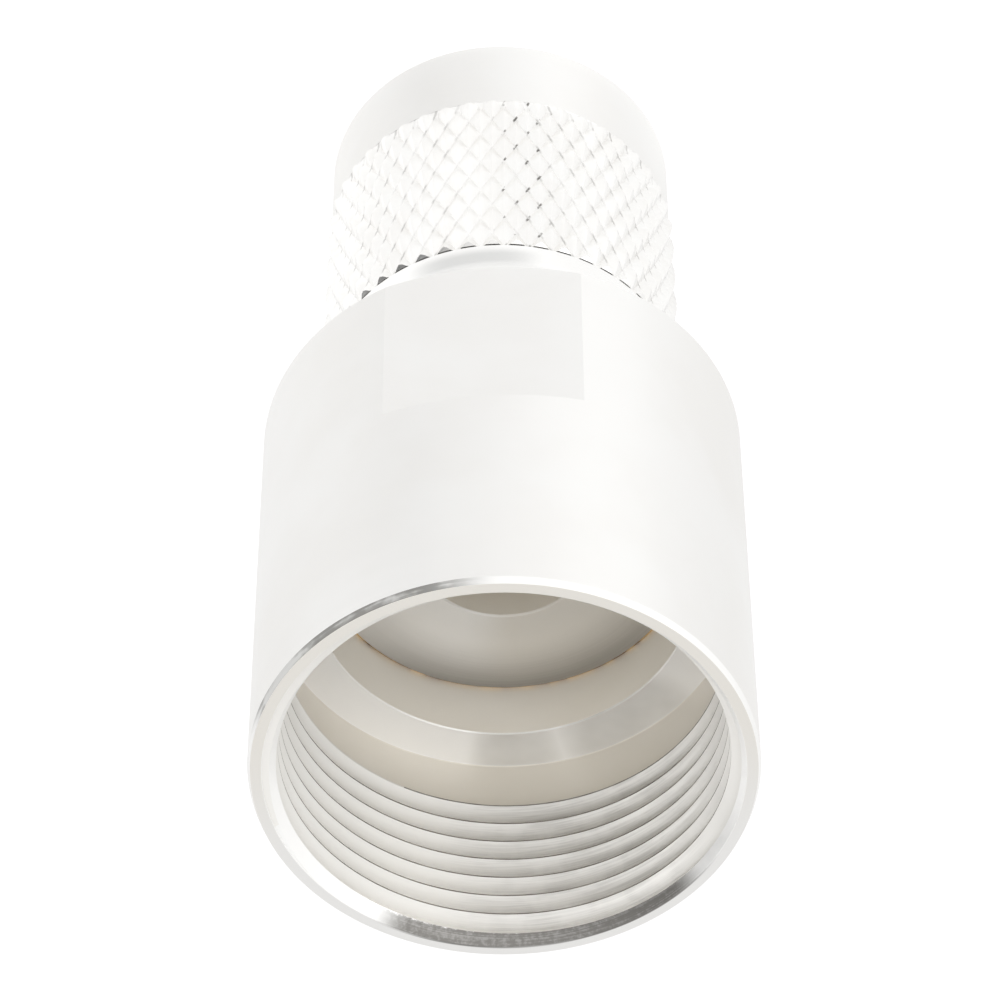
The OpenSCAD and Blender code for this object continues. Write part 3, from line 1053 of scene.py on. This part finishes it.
# Floor, and the light that it gives where it is seen directly
FLOOR_HALF = 1.5
FLOOR_DROP = 0.00002
FLOOR_GREY = colour(0.16, 0.16, 0.16)
FLOOR_LIFT = 0.95

# Ring of light on the floor: its gap to the nut, its outer radius, and its levels
GLOW_GAP = 0.3
GLOW_OUTER_R = 120
GLOW_COLUMNS = 96
GLOW_LEVEL = 0.95
GLOW_RISE_LAMP = 0.11
GLOW_RISE_FRONT = 0.105
GLOW_RISE_LEFT = 0.08

# Grey zone in the surroundings: its middle in degrees, the cosines between which it fades in, and its level
ZONE_AZIMUTH = 180
ZONE_ELEVATION = 65
ZONE_EDGE = 0.3
ZONE_FULL = 0.95
ZONE_LEVEL = 0.66

# Level of the surroundings as a source of soft light
SOFT_LIGHT = 1.15

# The point at which lamps and cards are aimed, and the lamps' distance from it
TARGET = Vector((0, 0, 0.022))
LAMP_DISTANCE = 0.35

# Share of a card's grey that is left where it is darkest
CARD_DARKEST = 0.8


def towards(azimuth, elevation):
    """Unit vector from the object; azimuth 0 is the camera's side and positive azimuths go to +X."""
    a = math.radians(azimuth)
    e = math.radians(elevation)
    return Vector((math.sin(a) * math.cos(e), -math.cos(a) * math.cos(e), math.sin(e)))


def sheet(name, half_x, half_y, z=0):
    """A level rectangle with its middle on the axis."""
    corners = [(-half_x, -half_y), (half_x, -half_y), (half_x, half_y), (-half_x, half_y)]
    return solid(name, [Vector((x, y, z)) for x, y in corners], [(0, 1, 2, 3)])


def seen_directly(tree):
    """1 for rays from the camera, in mirror reflections and through clear materials, 0 for soft light."""
    path = tree.nodes.new("ShaderNodeLightPath")
    total = path.outputs["Is Camera Ray"]
    for name in ("Is Glossy Ray", "Is Transmission Ray"):
        node = tree.nodes.new("ShaderNodeMath")
        node.operation = "MAXIMUM"
        tree.links.new(total, node.inputs[0])
        tree.links.new(path.outputs[name], node.inputs[1])
        total = node.outputs[0]
    return total


def show_in_metal_only(card):
    """Keeps a card of the stage out of the picture and out of the soft light."""
    card.visible_camera = False
    card.visible_shadow = False
    card.visible_diffuse = False


def make_floor():
    """Dark to the lamps, so that shadows on it are faint, and lifted to white where it is seen directly."""
    floor = sheet("floor", FLOOR_HALF, FLOOR_HALF, -FLOOR_DROP)
    material = bpy.data.materials.new("floor")
    material.use_nodes = True
    tree = material.node_tree
    tree.nodes.clear()
    soft = tree.nodes.new("ShaderNodeBsdfDiffuse")
    soft.inputs["Color"].default_value = FLOOR_GREY
    glow = tree.nodes.new("ShaderNodeEmission")
    strength = tree.nodes.new("ShaderNodeMath")
    strength.operation = "MULTIPLY"
    strength.inputs[1].default_value = FLOOR_LIFT
    tree.links.new(seen_directly(tree), strength.inputs[0])
    tree.links.new(strength.outputs[0], glow.inputs["Strength"])
    both = tree.nodes.new("ShaderNodeAddShader")
    tree.links.new(soft.outputs[0], both.inputs[0])
    tree.links.new(glow.outputs[0], both.inputs[1])
    output = tree.nodes.new("ShaderNodeOutputMaterial")
    tree.links.new(both.outputs[0], output.inputs["Surface"])
    floor.data.materials.append(material)


def make_table_glow():
    """A ring of light on the floor round the object, brighter by the main lamp, in front and at the left. It
    shows only in the metal."""
    inner = ring_of(peak_r + GLOW_GAP, 0, GLOW_COLUMNS)
    outer = ring_of(GLOW_OUTER_R, 0, GLOW_COLUMNS)
    faces = []
    for column in range(GLOW_COLUMNS):
        beside = (column + 1) % GLOW_COLUMNS
        faces.append((column, beside, GLOW_COLUMNS + beside, GLOW_COLUMNS + column))
    card = solid("table_glow", [point * MM for point in inner + outer], faces)
    look = Look("table_glow")
    level = GLOW_LEVEL
    for stretch, rise in (
        (GLOW_BY_LAMP, GLOW_RISE_LAMP),
        (GLOW_IN_FRONT, GLOW_RISE_FRONT),
        (GLOW_AT_LEFT, GLOW_RISE_LEFT),
    ):
        level = look.math("MULTIPLY_ADD", look.window(*stretch), rise, level)
    look.set(base_color=BLACK, roughness=1.0, emission_color=WHITE, emission_strength=level)
    look.feed(look.shader.inputs["Specular IOR Level"], 0.0)
    look.material.cycles.emission_sampling = "NONE"
    card.data.materials.append(look.material)
    show_in_metal_only(card)


def make_world():
    """White, with a soft grey zone high up behind the object; soft light gets a level of its own."""
    world = bpy.data.worlds.new("studio")
    world.use_nodes = True
    tree = world.node_tree
    direction = tree.nodes.new("ShaderNodeTexCoord").outputs["Generated"]
    nearness = tree.nodes.new("ShaderNodeVectorMath")
    nearness.operation = "DOT_PRODUCT"
    nearness.inputs[1].default_value = towards(ZONE_AZIMUTH, ZONE_ELEVATION)
    tree.links.new(direction, nearness.inputs[0])
    fade = tree.nodes.new("ShaderNodeMapRange")
    fade.inputs["From Min"].default_value = ZONE_EDGE
    fade.inputs["From Max"].default_value = ZONE_FULL
    fade.inputs["To Min"].default_value = 1.0
    fade.inputs["To Max"].default_value = ZONE_LEVEL
    tree.links.new(nearness.outputs["Value"], fade.inputs["Value"])
    level = tree.nodes.new("ShaderNodeMapRange")
    level.inputs["To Min"].default_value = SOFT_LIGHT
    level.inputs["To Max"].default_value = 1.0
    tree.links.new(seen_directly(tree), level.inputs["Value"])
    strength = tree.nodes.new("ShaderNodeMath")
    strength.operation = "MULTIPLY"
    tree.links.new(fade.outputs[0], strength.inputs[0])
    tree.links.new(level.outputs[0], strength.inputs[1])
    background = tree.nodes["Background"]
    background.inputs["Color"].default_value = WHITE
    tree.links.new(strength.outputs[0], background.inputs["Strength"])
    bpy.context.scene.world = world


def add_lamp(name, azimuth, elevation, size, radiance):
    """A square lamp aimed at the object."""
    data = bpy.data.lights.new(name, "AREA")
    data.shape = "RECTANGLE"
    data.size = size
    data.size_y = size
    data.energy = radiance * math.pi * size * size
    lamp = bpy.data.objects.new(name, data)
    bpy.context.scene.collection.objects.link(lamp)
    side = towards(azimuth, elevation)
    lamp.location = TARGET + side * LAMP_DISTANCE
    lamp.rotation_euler = (-side).to_track_quat("-Z", "Y").to_euler()
    return lamp


def add_card(name, azimuth, elevation, distance, width, height, grey):
    """A grey card outside the picture, which shows only as a darker patch in the metal."""
    card = sheet(name, width / 2, height / 2)
    side = towards(azimuth, elevation)
    card.location = TARGET + side * distance
    card.rotation_euler = side.to_track_quat("Z", "Y").to_euler()
    look = Look(name)
    tone = look.noise(look.place, scale=0.02)
    darkest = CARD_DARKEST * grey
    look.set(base_color=look.blend(tone, colour(grey, grey, grey), colour(darkest, darkest, darkest)))
    look.set(roughness=1.0)
    card.data.materials.append(look.material)
    show_in_metal_only(card)


def make_camera():
    """The photograph's view: 43 degrees off the axis above the rim, turned over so that the nut is on top."""
    # The rim's middle is the aim, and it lies this many pixels off the middle of the picture
    rim_right = 4.27
    rim_below = 275.46
    distance = 178.37
    off_axis = math.radians(43.325)
    azimuth = math.radians(-4.6)
    roll = math.radians(-0.3865)
    focal_pixels = 4798.67
    picture_pixels = 1000
    sensor = 36
    clip_start_metres = 0.01
    clip_end_metres = 10
    side = Vector((math.sin(azimuth), -math.cos(azimuth), 0))
    back = side * math.sin(off_axis) + Vector((0, 0, math.cos(off_axis)))
    right = Vector((-math.cos(azimuth), -math.sin(azimuth), 0))
    up = back.cross(right)
    turned = Matrix((right, up, back)).transposed().to_4x4()
    pitch = math.atan(rim_below / focal_pixels)
    yaw = math.atan(rim_right / focal_pixels)
    aimed = Matrix.Rotation(roll, 4, "Z") @ Matrix.Rotation(pitch, 4, "X") @ Matrix.Rotation(yaw, 4, "Y")
    eye = Vector((0, 0, z_rim)) + back * distance
    data = bpy.data.cameras.new("camera")
    data.sensor_width = sensor
    data.lens = focal_pixels / picture_pixels * sensor
    data.clip_start = clip_start_metres
    data.clip_end = clip_end_metres
    camera = bpy.data.objects.new("camera", data)
    camera.matrix_world = Matrix.Translation(eye * MM) @ turned @ aimed
    bpy.context.scene.collection.objects.link(camera)
    bpy.context.scene.camera = camera


make_floor()
make_table_glow()
make_world()
add_lamp("key_lamp", azimuth=-46, elevation=30, size=0.22, radiance=1.3)
add_lamp("fill_lamp", azimuth=100, elevation=55, size=0.2, radiance=0.5)
front_lamp = add_lamp("front_lamp", azimuth=-5, elevation=52, size=0.2, radiance=2.8)
front_lamp.visible_glossy = False
add_card("dark_card", azimuth=70, elevation=31, distance=0.25, width=0.44, height=0.15, grey=0.10)
make_camera()
bpy.context.scene.view_settings.view_transform = "Standard"
